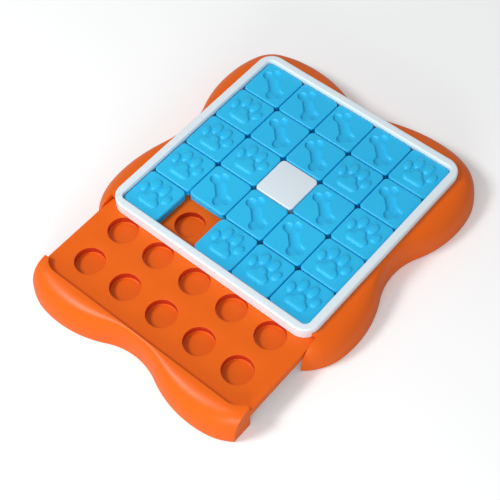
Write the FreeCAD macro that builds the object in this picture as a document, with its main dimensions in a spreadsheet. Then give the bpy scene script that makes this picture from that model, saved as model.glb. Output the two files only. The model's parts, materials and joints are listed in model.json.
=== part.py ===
# Sliding tile treat puzzle for dogs: a five by five board of interlocking tiles
# over a drawer of treat wells. Millimetres, +Z up. The origin lies on the floor under
# the middle of the puzzle as it stands with the drawer half out. +Y points away from
# the drawer and +X runs along its front to the right.
import FreeCAD, Part
import math
import os
import Sketcher
from FreeCAD import Vector

doc = FreeCAD.newDocument("treat_puzzle")

# Driving dimensions
SIZES = [
    ("tile_pitch", 48.0),
    ("tile_gap", 1.0),
    ("tile_height", 9.6),
    ("tile_corner", 5.0),
    ("tile_corner_cut", 3.4),
    ("tile_edge", 0.9),
    ("tile_wall", 4.2),
    ("tile_hollow", 5.6),
    ("tongue_reach", 2.2),
    ("tongue_height", 2.2),
    ("tongue_level", 3.4),
    ("tongue_play", 0.3),
    ("tongue_end_play", 0.5),
    ("deck_gap", 0.4),
    ("frame_bar", 9.1),
    ("frame_play", 0.4),
    ("frame_rise", 4.0),
    ("frame_corner", 18.0),
    ("frame_inner_corner", 6.0),
    ("frame_round", 3.6),
    ("frame_inner_edge", 1.6),
    ("flange_reach", 2.3),
    ("flange_height", 2.0),
    ("shell_gap", 0.5),
    ("slide_play", 0.8),
    ("tray_top", 28.0),
    ("tray_overhang", 2.7),
    ("tray_plate", 2.4),
    ("tray_skirt", 10.4),
    ("tray_wall", 2.4),
    ("well_radius", 15.8),
    ("well_depth", 8.0),
    ("well_floor", 1.8),
    ("well_wall", 2.0),
    ("drawer_open", 96.0),
    ("bulge_margin", 28.0),
    ("waist_depth", 20.5),
    ("bulge_peak", 86.0),
    ("side_bend", 120.0),
    ("bulge_corner", 61.0),
    ("crown_height", 35.0),
    ("dome_power", 2.4),
    ("pocket_margin", 5.0),
    ("pocket_top", 22.0),
    ("front_end_setback", 8.0),
    ("rim_gap", 0.8),
    ("plate_thickness", 2.5),
    ("plate_margin", 4.0),
    ("runner_width", 3.0),
    ("runner_spacing", 84.0),
    ("foot_length", 26.0),
    ("foot_width", 11.0),
    ("foot_recess", 1.0),
    ("foot_inset", 51.3),
]
BOARD = 5
FORM_POINTS = 48
FORM_LEVELS = 5
VACANT_CELL = (1, 0)
CENTRE_CELL = (2, 2)

sheet = doc.addObject("Spreadsheet::Sheet", "sizes")
for row, (alias, value) in enumerate(SIZES, start=1):
    sheet.set("A%d" % row, alias.replace("_", " "))
    sheet.set("B%d" % row, str(value))
    sheet.setAlias("B%d" % row, alias)
doc.recompute()


def size(alias):
    """Read one driving dimension."""
    return float(getattr(sheet, alias))


# Lengths worked out from the driving dimensions, as expressions that every piece shares
TILE_WIDTH = "(sizes.tile_pitch - sizes.tile_gap)"
BOARD_HALF = "(%d * sizes.tile_pitch / 2)" % BOARD
INNER_HALF = "(%s + sizes.frame_play)" % BOARD_HALF
FRAME_HALF = "(%s + sizes.frame_bar)" % INNER_HALF
SHELL_HALF = "(%s + sizes.shell_gap)" % FRAME_HALF
TRAY_HALF = "(%s + sizes.tray_overhang)" % FRAME_HALF
CHANNEL_HALF = "(%s + sizes.slide_play)" % TRAY_HALF
DECK_LEVEL = "(sizes.tray_top + sizes.deck_gap)"
LIP_LEVEL = "(%s + sizes.flange_height + sizes.tongue_play)" % DECK_LEVEL
FRAME_HEIGHT = "(sizes.tile_height + sizes.frame_rise)"
TONGUE_SPAN = "(%s - 2 * sizes.tile_corner - 1)" % TILE_WIDTH
GROOVE_LEVEL = "(sizes.tongue_level - sizes.tongue_play)"
GROOVE_HEIGHT = "(sizes.tongue_height + 2 * sizes.tongue_play)"
GROOVE_DEPTH = "(sizes.tongue_reach - sizes.tile_gap + sizes.tongue_end_play)"
RIB_REACH = "(sizes.frame_play + sizes.tile_gap / 2 + %s - sizes.tongue_end_play)" % GROOVE_DEPTH
FRONT_END = "(%s - sizes.front_end_setback)" % FRAME_HALF
TRAY_BACK = "(%s - sizes.slide_play)" % FRAME_HALF
BULGE_REACH = "(%s + sizes.bulge_margin)" % FRAME_HALF
WAIST_REACH = "(%s - sizes.waist_depth)" % BULGE_REACH
BOARD_Y = "(sizes.drawer_open / 2)"


def number(expression):
    """The value of a shared expression, for geometry that is drawn point by point."""
    text = expression
    for alias, _ in sorted(SIZES, key=lambda item: -len(item[0])):
        text = text.replace("sizes." + alias, "(%r)" % size(alias))
    result = FreeCAD.Units.Quantity(text)
    return float(result.Value)


def bind(thing, properties):
    """Tie properties of one object to expressions on the sheet."""
    for name, expression in properties.items():
        thing.setExpression(name, expression)


def box(name, length, width, height, low):
    """A block from its three sides and its lowest corner, all as expressions."""
    block = doc.addObject("Part::Box", name)
    bind(block, {
        "Length": length,
        "Width": width,
        "Height": height,
        "Placement.Base.x": low[0],
        "Placement.Base.y": low[1],
        "Placement.Base.z": low[2],
    })
    return block


def body_block(body, kind, name, sides, low):
    """A block inside a body: kind is Additive or Subtractive."""
    block = body.newObject("PartDesign::%sBox" % kind, name)
    bind(block, {
        "Length": sides[0],
        "Width": sides[1],
        "Height": sides[2],
        "Placement.Base.x": low[0],
        "Placement.Base.y": low[1],
        "Placement.Base.z": low[2],
    })
    return block


def origin_plane(body, role):
    """One of the body's own origin planes."""
    for feature in body.Origin.OriginFeatures:
        if feature.Role == role:
            return feature


def new_body(label):
    """An empty body whose name is also its node name."""
    body = doc.addObject("PartDesign::Body", label)
    body.Label = label
    return body


def flat_sketch(body, name, level=None):
    """A sketch on the body's ground plane, or on a plane level with an expression."""
    sketch = body.newObject("Sketcher::SketchObject", name)
    sketch.AttachmentSupport = [(origin_plane(body, "XY_Plane"), "")]
    sketch.MapMode = "FlatFace"
    if level:
        sketch.setExpression("AttachmentOffset.Base.z", level)
    return sketch


def rounded_square(sketch, half, corner):
    """Draw a centred square with round corners and tie its size to expressions."""
    reach = number(half)
    radius = number(corner)
    inner = reach - radius
    first = sketch.GeometryCount
    sides = [(-1, 0), (0, -1), (1, 0), (0, 1)]
    for out_x, out_y in sides:
        start = Vector(out_x * reach + out_y * inner, out_y * reach - out_x * inner, 0)
        end = Vector(out_x * reach - out_y * inner, out_y * reach + out_x * inner, 0)
        sketch.addGeometry(Part.LineSegment(start, end), False)
    for index, (corner_x, corner_y) in enumerate([(-1, -1), (1, -1), (1, 1), (-1, 1)]):
        centre = Vector(corner_x * inner, corner_y * inner, 0)
        circle = Part.Circle(centre, Vector(0, 0, 1), radius)
        begin = math.pi + index * math.pi / 2
        sketch.addGeometry(Part.ArcOfCircle(circle, begin, begin + math.pi / 2), False)
    for index in range(4):
        line = first + index
        arc = first + 4 + index
        next_line = first + (index + 1) % 4
        sketch.addConstraint(Sketcher.Constraint("Tangent", line, 2, arc, 1))
        sketch.addConstraint(Sketcher.Constraint("Tangent", arc, 2, next_line, 1))
    for index in range(3):
        sketch.addConstraint(Sketcher.Constraint("Equal", first + 4 + index, first + 5 + index))
    sketch.addConstraint(Sketcher.Constraint("Vertical", first))
    sketch.addConstraint(Sketcher.Constraint("Horizontal", first + 1))
    for name, constraint, expression in [
        ("left", Sketcher.Constraint("DistanceX", first, 1, -1, 1, reach), half),
        ("right", Sketcher.Constraint("DistanceX", -1, 1, first + 2, 1, reach), half),
        ("near", Sketcher.Constraint("DistanceY", first + 1, 1, -1, 1, reach), half),
        ("far", Sketcher.Constraint("DistanceY", -1, 1, first + 3, 1, reach), half),
        ("corner", Sketcher.Constraint("Radius", first + 4, radius), corner),
    ]:
        number_of_it = sketch.addConstraint(constraint)
        sketch.renameConstraint(number_of_it, name)
        sketch.setExpression("Constraints." + name, expression)


def top_face(feature, level):
    """The name of the flat face that lies at one height."""
    for index, face in enumerate(feature.Shape.Faces, start=1):
        box_of_it = face.BoundBox
        if box_of_it.ZLength < 1e-6 and abs(box_of_it.ZMax - level) < 1e-6:
            return "Face%d" % index
    return None


# Wavy outline of the board: in each quarter a hollow waist arc, a long side arc and a
# tight corner arc, each tangent to the next, mirrored about the diagonal
def arc_between(centre, radius, start, end, clockwise=False):
    """An arc from one point to another about a centre."""
    first = math.atan2(start[1] - centre[1], start[0] - centre[0])
    last = math.atan2(end[1] - centre[1], end[0] - centre[0])
    if clockwise:
        first, last = last, first
    while last < first:
        last += 2 * math.pi
    middle = (first + last) / 2
    through = (centre[0] + radius * math.cos(middle), centre[1] + radius * math.sin(middle))
    return Part.Arc(Vector(*start, 0), Vector(*through, 0), Vector(*end, 0)).toShape()


def wavy_wire(inset=0.0):
    """The closed outline, drawn inwards by one distance all round."""
    bend = size("side_bend") - inset
    corner = size("bulge_corner") - inset
    waist = number(WAIST_REACH) - inset
    side = (number(BULGE_REACH) - size("side_bend"), size("bulge_peak"))
    total = side[0] + side[1]
    product = (side[0] ** 2 + side[1] ** 2 - (bend - corner) ** 2) / 2
    diagonal = (total + math.sqrt(total ** 2 - 4 * product)) / 2
    gap = waist - side[0]
    hollow = (gap ** 2 + side[1] ** 2 - bend ** 2) / (2 * (bend - gap))
    hollow_centre = (waist + hollow, 0.0)
    share = bend / (bend + hollow)
    waist_end = (side[0] + (hollow_centre[0] - side[0]) * share, side[1] * (1 - share))
    aim = ((diagonal - side[0]) / (bend - corner), (diagonal - side[1]) / (bend - corner))
    side_end = (side[0] + aim[0] * bend, side[1] + aim[1] * bend)

    edges = []
    for quarter in range(4):
        turn = quarter * math.pi / 2

        def place(point):
            return (point[0] * math.cos(turn) - point[1] * math.sin(turn),
                    point[0] * math.sin(turn) + point[1] * math.cos(turn))

        def below(point):
            return place((point[0], -point[1]))

        def flipped(point):
            return place((point[1], point[0]))

        edges.append(arc_between(place(hollow_centre), hollow, below(waist_end), place(waist_end), True))
        edges.append(arc_between(place(side), bend, place(waist_end), place(side_end)))
        edges.append(arc_between(place((diagonal, diagonal)), corner, place(side_end), flipped(side_end)))
        edges.append(arc_between(flipped(side), bend, flipped(side_end), flipped(waist_end)))
    return Part.Wire(Part.__sortEdges__(edges))


def reach_along(edges, angle):
    """How far an outline made of these edges reaches in one direction from the centre."""
    far = 2 * number(BULGE_REACH)
    ray = Part.makeLine(Vector(0, 0, 0), Vector(far * math.cos(angle), far * math.sin(angle), 0))
    hits = [ray.distToShape(edge) for edge in edges]
    return max(points[0][1].Length for gap, points, _ in hits if gap < 1e-6)


def domed_form():
    """The domed body: sections that swell from the frame's outline to the wavy one below."""
    floor_edges = wavy_wire().Edges
    half = number(FRAME_HALF)
    top_square = rounded_outline(half, size("frame_corner")).Edges
    angles = [index * 2 * math.pi / FORM_POINTS for index in range(FORM_POINTS)]
    floor_reach = [reach_along(floor_edges, angle) for angle in angles]
    top_reach = [reach_along(top_square, angle) for angle in angles]
    sections = []
    for level in range(FORM_LEVELS + 1):
        climb = level / FORM_LEVELS * math.pi / 2
        spread = math.cos(climb) ** (2 / size("dome_power")) if level < FORM_LEVELS else 0
        height = size("rim_gap")
        height += (size("crown_height") - size("rim_gap")) * math.sin(climb) ** (2 / size("dome_power"))
        points = []
        for angle, low_reach, high_reach in zip(angles, floor_reach, top_reach):
            reach = high_reach + (low_reach - high_reach) * spread
            points.append(Vector(reach * math.cos(angle), reach * math.sin(angle), height))
        curve = Part.BSplineCurve()
        curve.interpolate(Points=points, PeriodicFlag=True)
        sections.append(Part.Wire(curve.toShape()))
    return Part.makeLoft(sections, True, True)


def rounded_outline(half, corner):
    """A flat square outline with round corners."""
    corners = [Vector(x * half, y * half, 0) for x, y in ((1, 1), (-1, 1), (-1, -1), (1, -1), (1, 1))]
    block = Part.Face(Part.makePolygon(corners)).extrude(Vector(0, 0, 1))
    uprights = [edge for edge in block.Edges if edge.BoundBox.ZLength > 0.5]
    block = block.makeFillet(corner, uprights)
    bottom = [face for face in block.Faces if face.BoundBox.ZMax < 1e-6]
    return bottom[0].OuterWire


def rounded_prism(half, corner, low, high):
    """An upright block with a round cornered square base."""
    block = Part.makeBox(2 * half, 2 * half, high - low, Vector(-half, -half, low))
    uprights = [edge for edge in block.Edges if edge.BoundBox.ZLength > 1e-6 and edge.BoundBox.XLength < 1e-6
                and edge.BoundBox.YLength < 1e-6]
    return block.makeFillet(corner, uprights)


def plain_block(low, high):
    """An upright block between two corners."""
    return Part.makeBox(high[0] - low[0], high[1] - low[1], high[2] - low[2], Vector(*low))


pieces = []


def keep(thing, label, x="0", y="0", z="0"):
    """Name a finished sub-part and put it in its place."""
    thing.Label = label
    bind(thing, {"Placement.Base.x": x, "Placement.Base.y": y, "Placement.Base.z": z})
    pieces.append(thing)


far = 2 * number(BULGE_REACH)
frame_half = number(FRAME_HALF)
shell_half = number(SHELL_HALF)
shell_corner = size("frame_corner") + size("shell_gap")
tray_half = number(TRAY_HALF)
channel_half = number(CHANNEL_HALF)
front_end = number(FRONT_END)
lip_level = number(LIP_LEVEL)
rim = size("rim_gap")
crown = size("crown_height")
plate_top = rim + size("plate_thickness")
back_wall = frame_half + size("flange_reach") + size("slide_play")

# Base shell: the orange moulding round the board, open at the front for the drawer
outer_form = domed_form()
board_opening = rounded_prism(shell_half, shell_corner, lip_level, crown + 1)
channel = plain_block((-channel_half, -far, 0), (channel_half, back_wall, lip_level))
front_gap = plain_block((-channel_half, -far, 0), (channel_half, -front_end + size("slide_play"), crown + 1))
plate_seat = Part.Face(wavy_wire(size("plate_margin") - size("shell_gap")))
plate_seat = plate_seat.extrude(Vector(0, 0, plate_top))
front_rail = plain_block((-far, -far, 0), (far, -front_end + size("slide_play"), plate_top))
guide_reach = channel_half + size("pocket_margin")
guide_walls = plain_block((-guide_reach, -far, 0), (guide_reach, back_wall + size("pocket_margin"), crown))
pockets = Part.Face(wavy_wire(size("pocket_margin")))
pockets = pockets.extrude(Vector(0, 0, size("pocket_top"))).cut(guide_walls)
shell = outer_form.cut([board_opening, channel, front_gap, plate_seat.cut(front_rail)])
shell = shell.cut(pockets)
base_shell = doc.addObject("Part::Feature", "base_shell")
base_shell.Shape = shell.removeSplitter()
keep(base_shell, "base_shell", y=BOARD_Y)

# Bottom plate: closes the underside and carries the runners that the drawer slides on
plate_body = new_body("bottom_plate")
plate_sketch = flat_sketch(plate_body, "plate_outline")
plate_face = Part.Face(wavy_wire(size("plate_margin")))
plate_cutter = Part.makePlane(2 * far, far, Vector(-far, -far - front_end + 2 * size("slide_play"), 0))
plate_wire = plate_face.cut(plate_cutter).Faces[0].OuterWire
for edge in plate_wire.Edges:
    sketch_curve = edge.Curve
    if edge.Curve.TypeId == "Part::GeomCircle":
        middle = edge.valueAt((edge.FirstParameter + edge.LastParameter) / 2)
        ends = [edge.valueAt(edge.FirstParameter), edge.valueAt(edge.LastParameter)]
        plate_sketch.addGeometry(Part.Arc(ends[0], middle, ends[1]), False)
    else:
        ends = [edge.valueAt(edge.FirstParameter), edge.valueAt(edge.LastParameter)]
        plate_sketch.addGeometry(Part.LineSegment(ends[0], ends[1]), False)
plate_pad = plate_body.newObject("PartDesign::Pad", "plate_pad")
plate_pad.Profile = plate_sketch
plate_pad.setExpression("Length", "sizes.plate_thickness")
RUNNER_HEIGHT = "(sizes.tray_top - sizes.tray_skirt - sizes.slide_play - sizes.rim_gap - sizes.plate_thickness)"
for index in range(4):
    offset = "(%g * sizes.runner_spacing - sizes.runner_width / 2)" % (index - 1.5)
    body_block(plate_body, "Additive", "runner_%d" % (index + 1),
               ("sizes.runner_width", "(%s + %s - 4)" % (FRONT_END, TRAY_BACK), RUNNER_HEIGHT + " + 0.5"),
               (offset, "-" + FRONT_END + " + 2", "sizes.plate_thickness - 0.5"))
keep(plate_body, "bottom_plate", y=BOARD_Y, z="sizes.rim_gap")

# Foot pads: soft bars seated in shallow pockets under the plate
FOOT_OFFSET = "(%s - sizes.foot_inset)" % BULGE_REACH
FOOT_SEAT = "(sizes.rim_gap + sizes.foot_recess)"
foot_places = {
    "foot_front_left": (-1, -1),
    "foot_front_right": (1, -1),
    "foot_back_left": (-1, 1),
    "foot_back_right": (1, 1),
}
for label, (side, end) in foot_places.items():
    centre_x = "%d * %s" % (side, FOOT_OFFSET)
    centre_y = "%d * %s" % (end, FOOT_OFFSET)
    body_block(plate_body, "Subtractive", label + "_pocket",
               ("sizes.foot_length + 0.4", "sizes.foot_width + 0.4", "sizes.foot_recess"),
               (centre_x + " - sizes.foot_length / 2 - 0.2", centre_y + " - sizes.foot_width / 2 - 0.2", "0 mm"))
    foot = new_body(label)
    bar = body_block(foot, "Additive", label + "_bar", ("sizes.foot_length", "sizes.foot_width", FOOT_SEAT),
                     ("-sizes.foot_length / 2", "-sizes.foot_width / 2", "0 mm"))
    doc.recompute()
    uprights = ["Edge%d" % index for index, edge in enumerate(bar.Shape.Edges, start=1)
                if edge.BoundBox.ZLength > 1]
    ends = foot.newObject("PartDesign::Chamfer", label + "_ends")
    ends.Base = (bar, uprights)
    ends.setExpression("Size", "sizes.foot_width / 3")
    keep(foot, label, x=centre_x, y="%s + %s" % (BOARD_Y, centre_y))

# Treat drawer: tray of wells with skirts, and a front wall cut from the same domed form
drawer_blocks = [
    box("tray_plate", "2 * " + TRAY_HALF, "%s + %s" % (TRAY_BACK, SHELL_HALF), "sizes.tray_plate",
        ("-" + TRAY_HALF, "-" + SHELL_HALF, "sizes.tray_top - sizes.tray_plate")),
    box("tray_left_skirt", "sizes.tray_wall", "%s + %s" % (TRAY_BACK, SHELL_HALF), "sizes.tray_skirt",
        ("-" + TRAY_HALF, "-" + SHELL_HALF, "sizes.tray_top - sizes.tray_skirt")),
    box("tray_right_skirt", "sizes.tray_wall", "%s + %s" % (TRAY_BACK, SHELL_HALF), "sizes.tray_skirt",
        (TRAY_HALF + " - sizes.tray_wall", "-" + SHELL_HALF, "sizes.tray_top - sizes.tray_skirt")),
    box("tray_back_skirt", "2 * " + TRAY_HALF, "sizes.tray_wall", "sizes.tray_skirt",
        ("-" + TRAY_HALF, TRAY_BACK + " - sizes.tray_wall", "sizes.tray_top - sizes.tray_skirt")),
]
CUP_SIDE = "(2 * sizes.well_radius + 2 * sizes.well_wall)"
wells = []
for column in range(BOARD):
    for line in range(BOARD):
        x = "%d * sizes.tile_pitch" % (column - BOARD // 2)
        y = "%d * sizes.tile_pitch" % (line - BOARD // 2)
        tag = "%d_%d" % (column + 1, line + 1)
        drawer_blocks.append(box(
            "cup_" + tag, CUP_SIDE, CUP_SIDE, "sizes.well_depth + sizes.well_floor - sizes.tray_plate / 2",
            (x + " - %s / 2" % CUP_SIDE, y + " - %s / 2" % CUP_SIDE,
             "sizes.tray_top - sizes.well_depth - sizes.well_floor")))
        well = doc.addObject("Part::Cylinder", "well_" + tag)
        bind(well, {
            "Radius": "sizes.well_radius",
            "Height": "sizes.well_depth + 1",
            "Placement.Base.x": x,
            "Placement.Base.y": y,
            "Placement.Base.z": "sizes.tray_top - sizes.well_depth",
        })
        wells.append(well)

front_wall_shape = outer_form.common(plain_block((-tray_half, -far, 0), (tray_half, -front_end, crown + 1)))
front_wall_shape = front_wall_shape.cut(rounded_prism(shell_half, shell_corner, 0, crown + 1))
front_wall = doc.addObject("Part::Feature", "drawer_front_wall")
front_wall.Shape = front_wall_shape
drawer_body = doc.addObject("Part::MultiFuse", "drawer_body")
drawer_body.Shapes = drawer_blocks + [front_wall]
drawer_body.Refine = True
well_tools = doc.addObject("Part::MultiFuse", "well_tools")
well_tools.Shapes = wells
treat_drawer = doc.addObject("Part::Cut", "treat_drawer")
treat_drawer.Base = drawer_body
treat_drawer.Tool = well_tools
treat_drawer.Refine = True
keep(treat_drawer, "treat_drawer", y=BOARD_Y + " - sizes.drawer_open")

# Top frame: white rounded rim with a hidden flange, grooves on two sides and ribs on two
frame_body = new_body("top_frame")
frame_sketch = flat_sketch(frame_body, "frame_outline")
rounded_square(frame_sketch, FRAME_HALF, "sizes.frame_corner")
frame_pad = frame_body.newObject("PartDesign::Pad", "frame_pad")
frame_pad.Profile = frame_sketch
frame_pad.setExpression("Length", FRAME_HEIGHT)
board_sketch = flat_sketch(frame_body, "board_outline")
rounded_square(board_sketch, INNER_HALF, "sizes.frame_inner_corner")
board_cut = frame_body.newObject("PartDesign::Pocket", "board_cut")
board_cut.Profile = board_sketch
board_cut.Type = "ThroughAll"
board_cut.Reversed = True
doc.recompute()


def rim_edges(feature, level, reach):
    """Edges on the top face whose middle lies within one distance of the centre lines."""
    names = []
    for index, edge in enumerate(feature.Shape.Edges, start=1):
        bounds = edge.BoundBox
        if abs(bounds.ZMin - level) < 1e-6 and bounds.ZLength < 1e-6:
            if max(abs(bounds.Center.x), abs(bounds.Center.y)) + 1e-6 > reach[0]:
                if max(abs(bounds.Center.x), abs(bounds.Center.y)) < reach[1]:
                    names.append("Edge%d" % index)
    return names


frame_height = number(FRAME_HEIGHT)
inner_half = number(INNER_HALF)
outer_round = frame_body.newObject("PartDesign::Fillet", "outer_round")
outer_round.Base = (board_cut, rim_edges(board_cut, frame_height, (inner_half + 0.5, far)))
outer_round.setExpression("Radius", "sizes.frame_round")
doc.recompute()
inner_edge = frame_body.newObject("PartDesign::Chamfer", "inner_edge")
inner_edge.Base = (outer_round, rim_edges(outer_round, frame_height, (0, inner_half + 0.1)))
inner_edge.setExpression("Size", "sizes.frame_inner_edge")

FLANGE_HALF = "(%s + sizes.flange_reach)" % FRAME_HALF
FLANGE_FRONT = "(%s - sizes.frame_corner)" % FRAME_HALF
GROOVE_HALF = "(%s + %s)" % (INNER_HALF, GROOVE_DEPTH)
for side, low in (("left", "-" + FLANGE_HALF), ("right", FRAME_HALF + " - 2")):
    body_block(frame_body, "Additive", side + "_flange",
               ("sizes.flange_reach + 2", "%s + %s" % (FLANGE_HALF, FLANGE_FRONT), "sizes.flange_height"),
               (low, "-" + FLANGE_FRONT, "0 mm"))
body_block(frame_body, "Additive", "back_flange",
           ("2 * " + FLANGE_HALF, "sizes.flange_reach + 2", "sizes.flange_height"),
           ("-" + FLANGE_HALF, FRAME_HALF + " - 2", "0 mm"))
RIB_HALF = "(%s - %s)" % (INNER_HALF, RIB_REACH)
body_block(frame_body, "Subtractive", "left_groove",
           ("sizes.frame_inner_corner + " + GROOVE_DEPTH, "%s + %s" % (INNER_HALF, GROOVE_HALF), GROOVE_HEIGHT),
           ("-" + GROOVE_HALF, "-" + INNER_HALF, GROOVE_LEVEL))
body_block(frame_body, "Subtractive", "back_groove",
           ("%s + %s" % (INNER_HALF, GROOVE_HALF), "sizes.frame_inner_corner + " + GROOVE_DEPTH, GROOVE_HEIGHT),
           ("-" + GROOVE_HALF, INNER_HALF + " - sizes.frame_inner_corner", GROOVE_LEVEL))
body_block(frame_body, "Additive", "right_rib",
           (RIB_REACH + " + 1", "2 * (%s - sizes.tile_corner)" % INNER_HALF, "sizes.tongue_height"),
           (RIB_HALF, "-(%s - sizes.tile_corner)" % INNER_HALF, "sizes.tongue_level"))
body_block(frame_body, "Additive", "front_rib",
           ("2 * (%s - sizes.tile_corner)" % INNER_HALF, RIB_REACH + " + 1", "sizes.tongue_height"),
           ("-(%s - sizes.tile_corner)" % INNER_HALF, "-%s - 1" % INNER_HALF, "sizes.tongue_level"))
keep(frame_body, "top_frame", y=BOARD_Y, z=DECK_LEVEL)


# Sliding tiles: tongues on the left and back, grooves on the right and front
def make_tile(label, column, line):
    """One tile in its cell, with its tongues, grooves and hollow underside."""
    body = new_body(label)
    half = "(%s / 2)" % TILE_WIDTH
    block = body_block(body, "Additive", label + "_block", (TILE_WIDTH, TILE_WIDTH, "sizes.tile_height"),
                       ("-" + half, "-" + half, "0 mm"))
    doc.recompute()
    uprights = ["Edge%d" % index for index, edge in enumerate(block.Shape.Edges, start=1)
                if edge.BoundBox.ZLength > 1]
    corners = body.newObject("PartDesign::Chamfer", label + "_corners")
    corners.Base = (block, uprights)
    corners.setExpression("Size", "sizes.tile_corner_cut")
    doc.recompute()
    edge = body.newObject("PartDesign::Chamfer", label + "_edge")
    edge.Base = (corners, [top_face(corners, size("tile_height"))])
    edge.setExpression("Size", "sizes.tile_edge")
    span = "(%s / 2)" % TONGUE_SPAN
    body_block(body, "Additive", label + "_left_tongue",
               ("sizes.tongue_reach + 1", TONGUE_SPAN, "sizes.tongue_height"),
               ("-%s - sizes.tongue_reach" % half, "-" + span, "sizes.tongue_level"))
    body_block(body, "Additive", label + "_back_tongue",
               (TONGUE_SPAN, "sizes.tongue_reach + 1", "sizes.tongue_height"),
               ("-" + span, half + " - 1", "sizes.tongue_level"))
    body_block(body, "Subtractive", label + "_right_groove",
               (GROOVE_DEPTH + " + 1", TILE_WIDTH + " + 2", GROOVE_HEIGHT),
               ("%s - %s" % (half, GROOVE_DEPTH), "-%s - 1" % half, GROOVE_LEVEL))
    body_block(body, "Subtractive", label + "_front_groove",
               (TILE_WIDTH + " + 2", GROOVE_DEPTH + " + 1", GROOVE_HEIGHT),
               ("-%s - 1" % half, "-%s - 1" % half, GROOVE_LEVEL))
    inside = "(%s - sizes.tile_wall)" % half
    body_block(body, "Subtractive", label + "_hollow",
               ("2 * " + inside, "2 * " + inside, "sizes.tile_hollow"),
               ("-" + inside, "-" + inside, "0 mm"))
    keep(body, label,
         x="%d * sizes.tile_pitch" % (column - BOARD // 2),
         y="%s + %d * sizes.tile_pitch" % (BOARD_Y, line - BOARD // 2),
         z=DECK_LEVEL)


for line in range(BOARD):
    for column in range(BOARD):
        if (column, line) == VACANT_CELL:
            continue
        if (column, line) == CENTRE_CELL:
            make_tile("centre_tile", column, line)
        else:
            make_tile("tile_c%d_r%d" % (column + 1, line + 1), column, line)

doc.recompute()

# Check every object, then write one file for each piece
faults = [thing.Label for thing in doc.Objects if "Invalid" in thing.State or "Error" in thing.State]
for piece in pieces:
    if piece.Shape.isNull() or not piece.Shape.isValid():
        faults.append(piece.Label)
if faults:
    raise RuntimeError("these did not build: " + ", ".join(faults))
os.makedirs("parts", exist_ok=True)
for piece in pieces:
    piece.Shape.exportStep("parts/%s.step" % piece.Label)
    print("%-18s %10.1f mm3, %d solid" % (piece.Label, piece.Shape.Volume, len(piece.Shape.Solids)))
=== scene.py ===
# %% [markdown]
# Sliding tile treat puzzle for dogs: a five by five board of blue tiles in a white
# frame, on an orange wavy body with a drawer of treat wells pulled half out. The packed
# CAD model could be dressed as it is, but its faces are plain. So it gives every place,
# and this script gives each piece its finished form and finish. The sizes that several
# pieces share are read from the CAD nodes or worked out here.

# %% Frame and shared sizes
import bpy
import bmesh
import json
import math
from mathutils import Matrix, Vector


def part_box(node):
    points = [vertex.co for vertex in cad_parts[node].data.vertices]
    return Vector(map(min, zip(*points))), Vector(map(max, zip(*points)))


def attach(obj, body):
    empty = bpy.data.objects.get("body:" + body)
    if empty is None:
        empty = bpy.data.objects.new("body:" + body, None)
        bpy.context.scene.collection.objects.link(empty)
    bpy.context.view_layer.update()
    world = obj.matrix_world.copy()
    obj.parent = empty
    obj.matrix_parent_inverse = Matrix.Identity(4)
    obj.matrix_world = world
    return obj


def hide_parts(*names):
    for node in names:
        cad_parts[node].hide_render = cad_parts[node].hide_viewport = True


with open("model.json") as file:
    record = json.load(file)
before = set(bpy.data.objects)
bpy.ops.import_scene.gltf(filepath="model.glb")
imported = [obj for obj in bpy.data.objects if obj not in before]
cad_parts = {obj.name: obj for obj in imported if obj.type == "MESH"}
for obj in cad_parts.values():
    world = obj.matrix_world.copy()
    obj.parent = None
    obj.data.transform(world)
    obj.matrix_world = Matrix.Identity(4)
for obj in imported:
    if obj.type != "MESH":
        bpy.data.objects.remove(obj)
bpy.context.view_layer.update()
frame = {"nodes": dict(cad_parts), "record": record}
nodes = frame["nodes"]

MM = 0.001
BOARD = 5
PITCH = 48 * MM
TILE_GAP = 1 * MM
TILE_HALF = (PITCH - TILE_GAP) / 2
TILE_RADIUS = 5 * MM
FRAME_HALF = 129.5 * MM
FRAME_RADIUS = 18 * MM
TRAY_TOP = 28 * MM
DRAWER_OPEN = 2 * PITCH
TILE_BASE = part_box("top_frame")[0][2]
FRAME_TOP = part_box("top_frame")[1][2]
TILE_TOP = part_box("centre_tile")[1][2]
BOARD_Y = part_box("centre_tile")[0][1] + TILE_HALF
BOARD_CENTRE = Vector((0, BOARD_Y, 0))
DRAWER_CENTRE = Vector((0, BOARD_Y - DRAWER_OPEN, 0))
print("board centre", tuple(BOARD_CENTRE), "frame top", FRAME_TOP, "tile top", TILE_TOP)

# %% [markdown]
# Every piece ends the same way: its bmesh is cleaned and becomes an object at the
# origin, smooth shaded, with creases only where two faces meet at a steep angle. Flat
# shading would show the facets, and one smooth shade for all would smear the edges.

# %% Finishing a mesh
CREASE = math.radians(35)
CUT_CREASE = math.radians(30)


def finish_mesh(name, bm, material, crease=CREASE, open_skin=False, second=None):
    """Turn a bmesh into an object at the origin. An open skin keeps the facing it was given."""
    bmesh.ops.remove_doubles(bm, verts=bm.verts, dist=1e-6)
    bmesh.ops.dissolve_degenerate(bm, edges=bm.edges, dist=1e-7)
    if not open_skin:
        bmesh.ops.recalc_face_normals(bm, faces=bm.faces)
    mesh = bpy.data.meshes.new(name)
    bm.to_mesh(mesh)
    bm.free()
    mesh.materials.append(material)
    if second:
        mesh.materials.append(second)
    mesh.shade_smooth()
    mesh.set_sharp_from_angle(angle=crease)
    piece = bpy.data.objects.new(name, mesh)
    bpy.context.scene.collection.objects.link(piece)
    return piece


def smooth_again(piece, material):
    """Clean a mesh after its cuts, give it its one material and shade it anew."""
    bm = bmesh.new()
    bm.from_mesh(piece.data)
    bmesh.ops.remove_doubles(bm, verts=bm.verts, dist=2e-6)
    bmesh.ops.dissolve_degenerate(bm, edges=bm.edges, dist=1e-6)
    bm.to_mesh(piece.data)
    bm.free()
    piece.data.materials.clear()
    piece.data.materials.append(material)
    piece.data.shade_smooth()
    piece.data.set_sharp_from_angle(angle=CUT_CREASE)


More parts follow.
